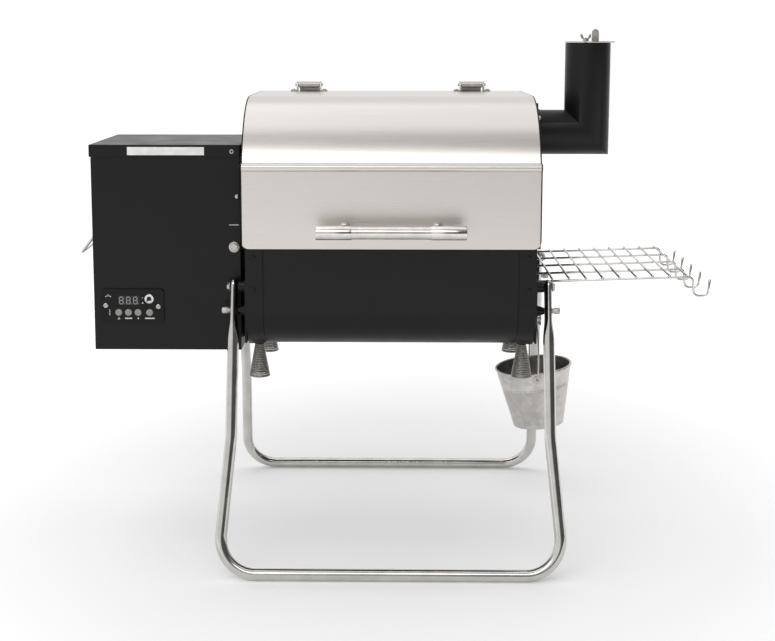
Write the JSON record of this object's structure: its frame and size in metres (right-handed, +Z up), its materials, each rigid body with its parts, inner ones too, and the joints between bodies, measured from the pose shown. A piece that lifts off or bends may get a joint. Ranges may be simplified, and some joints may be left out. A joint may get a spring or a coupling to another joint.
{
  "type": "pellet smoker grill",
  "caption": "Portable wood-pellet smoker grill: barrel with hinged steel lid, side hopper with controls, chimney, wire shelf, grease bucket and folding tube legs.",
  "frame": {"origin": "on the ground below the middle of the barrel, which is also the middle of the whole grill's footprint", "axes": "+X towards the chimney end, +Y towards the hinged back, +Z up"},
  "size_m": [1.055, 0.573, 0.869],
  "materials": {
    "black_powder_coat": "fine-textured black powder coat on folded steel sheet",
    "brushed_stainless": "stainless sheet, long-grain brushed, with bright highlights",
    "chrome_plate": "bright chrome plate on steel tube and wire",
    "zinc_plate": "bright zinc plate on small steel fittings",
    "spring_steel": "zinc-plated spring wire, slightly dull",
    "galvanised_sheet": "hot-dip galvanised sheet with a soft spangle",
    "bare_steel": "oiled steel, darkened by heat",
    "gloss_black_plastic": "glossy black control fascia",
    "black_plastic": "moulded black plastic, fine grain",
    "button_rubber": "matt grey silicone rubber",
    "smoked_window": "smoked clear window over the digits",
    "circuit_board": "green solder mask on a glass-fibre board"
  },
  "bodies": {
    "body": {"barrel_shell": "black_powder_coat", "left_end_cap": "black_powder_coat", "right_end_cap": "black_powder_coat", "cooking_grate": "bare_steel", "grease_tray": "bare_steel", "heat_baffle": "bare_steel", "fire_pot": "bare_steel", "igniter_rod": "brushed_stainless", "temperature_probe": "brushed_stainless", "lid_hinge_arm_left": "zinc_plate", "lid_hinge_arm_right": "zinc_plate", "hopper_box": "black_powder_coat", "pellet_bin": "galvanised_sheet", "auger_tube": "bare_steel", "auger_motor": "bare_steel", "hopper_mount_frame": "black_powder_coat", "fan_housing": "bare_steel", "control_panel": "gloss_black_plastic", "display_window": "smoked_window", "probe_jack": "chrome_plate", "controller_board": "circuit_board", "power_inlet": "black_plastic", "hopper_handle_plate": "black_plastic", "chimney_pipe": "black_powder_coat", "chimney_flange": "black_powder_coat", "shelf_bracket": "zinc_plate", "side_shelf": "chrome_plate", "drain_spout": "galvanised_sheet", "leg_bracket_front_left": "black_powder_coat", "leg_bracket_front_right": "black_powder_coat", "leg_bracket_rear_left": "black_powder_coat", "leg_bracket_rear_right": "black_powder_coat", "spring_foot_front_left": "spring_steel", "spring_foot_front_right": "spring_steel", "spring_foot_rear_left": "spring_steel", "spring_foot_rear_right": "spring_steel"},
    "lid": {"lid_skin": "brushed_stainless", "lid_handle_bar": "brushed_stainless", "lid_handle_post_left": "brushed_stainless", "lid_handle_post_right": "brushed_stainless", "lid_hinge_lugs_left": "zinc_plate", "lid_hinge_lugs_right": "zinc_plate"},
    "hopper_cover": {"hopper_lid": "black_powder_coat"},
    "auger_screw": {"auger": "bare_steel"},
    "fan": {"fan_wheel": "black_plastic"},
    "button_1": {"button_1": "button_rubber"},
    "button_2": {"button_2": "button_rubber"},
    "button_3": {"button_3": "button_rubber"},
    "button_4": {"button_4": "button_rubber"},
    "damper": {"damper_cap": "zinc_plate"},
    "wing_nut": {"damper_wing_nut": "zinc_plate"},
    "bail": {"bucket_bail": "galvanised_sheet"},
    "bucket": {"grease_bucket": "galvanised_sheet"},
    "carry_loop": {"hopper_handle": "chrome_plate"},
    "front_leg": {"front_leg": "chrome_plate"},
    "rear_leg": {"rear_leg": "chrome_plate"},
    "pin_front_left": {"lock_pin_front_left": "zinc_plate"},
    "pin_front_right": {"lock_pin_front_right": "zinc_plate"},
    "pin_rear_left": {"lock_pin_rear_left": "zinc_plate"},
    "pin_rear_right": {"lock_pin_rear_right": "zinc_plate"}
  },
  "joints": [
    {"name": "lid_hinge", "type": "hinge", "parent": "body", "child": "lid", "pos_m": [0, 0.165, 0.769], "axis": [1, 0, 0], "range_deg": [-88, 0]},
    {"name": "hopper_lid_hinge", "type": "hinge", "parent": "body", "child": "hopper_cover", "pos_m": [-0.257, -0.015, 0.67], "axis": [0, -1, 0], "range_deg": [-88, 0]},
    {"name": "front_leg_fold", "type": "hinge", "parent": "body", "child": "front_leg", "pos_m": [0, -0.15, 0.45], "axis": [-1, 0, 0], "range_deg": [0, 164]},
    {"name": "rear_leg_fold", "type": "hinge", "parent": "body", "child": "rear_leg", "pos_m": [0, 0.15, 0.45], "axis": [1, 0, 0], "range_deg": [0, 164]},
    {"name": "front_left_pin_pull", "type": "slide", "parent": "front_leg", "child": "pin_front_left", "axis": [-1, 0, 0], "range_m": [0, 0.008], "stiffness_N_per_m": 700, "springref_m": -0.003},
    {"name": "front_right_pin_pull", "type": "slide", "parent": "front_leg", "child": "pin_front_right", "axis": [1, 0, 0], "range_m": [0, 0.008], "stiffness_N_per_m": 700, "springref_m": -0.003},
    {"name": "rear_left_pin_pull", "type": "slide", "parent": "rear_leg", "child": "pin_rear_left", "axis": [-1, 0, 0], "range_m": [0, 0.008], "stiffness_N_per_m": 700, "springref_m": -0.003},
    {"name": "rear_right_pin_pull", "type": "slide", "parent": "rear_leg", "child": "pin_rear_right", "axis": [1, 0, 0], "range_m": [0, 0.008], "stiffness_N_per_m": 700, "springref_m": -0.003},
    {"name": "auger_spin", "type": "hinge", "parent": "body", "child": "auger_screw", "pos_m": [-0.27, -0.015, 0.412], "axis": [1, 0, 0], "continuous": true},
    {"name": "fan_spin", "type": "hinge", "parent": "body", "child": "fan", "pos_m": [-0.472, 0.058, 0.378], "axis": [1, 0, 0], "continuous": true},
    {"name": "button_1_press", "type": "slide", "parent": "body", "child": "button_1", "axis": [0, 1, 0], "range_m": [0, 0.0012], "stiffness_N_per_m": 300, "springref_m": -0.0006},
    {"name": "button_2_press", "type": "slide", "parent": "body", "child": "button_2", "axis": [0, 1, 0], "range_m": [0, 0.0012], "stiffness_N_per_m": 300, "springref_m": -0.0006},
    {"name": "button_3_press", "type": "slide", "parent": "body", "child": "button_3", "axis": [0, 1, 0], "range_m": [0, 0.0012], "stiffness_N_per_m": 300, "springref_m": -0.0006},
    {"name": "button_4_press", "type": "slide", "parent": "body", "child": "button_4", "axis": [0, 1, 0], "range_m": [0, 0.0012], "stiffness_N_per_m": 300, "springref_m": -0.0006},
    {"name": "wing_nut_turn", "type": "hinge", "parent": "body", "child": "wing_nut", "pos_m": [0.336, 0.022, 0.852], "axis": [0, 0, 1], "continuous": true},
    {"name": "damper_swivel", "type": "hinge", "parent": "body", "child": "damper", "pos_m": [0.336, 0.022, 0.847], "axis": [0, 0, 1], "range_deg": [0, 90]},
    {"name": "bail_swing", "type": "hinge", "parent": "body", "child": "bail", "pos_m": [0.25099, -0.02, 0.3819], "axis": [0, 1, 0], "range_deg": [-22, 8]},
    {"name": "bucket_tilt", "type": "hinge", "parent": "bail", "child": "bucket", "pos_m": [0.25099, -0.02, 0.27705], "axis": [0, 1, 0], "range_deg": [-20, 20]},
    {"name": "carry_loop_swing", "type": "hinge", "parent": "body", "child": "carry_loop", "pos_m": [-0.501, -0.015, 0.524], "axis": [0, 1, 0], "range_deg": [0, 85]}
  ]
}
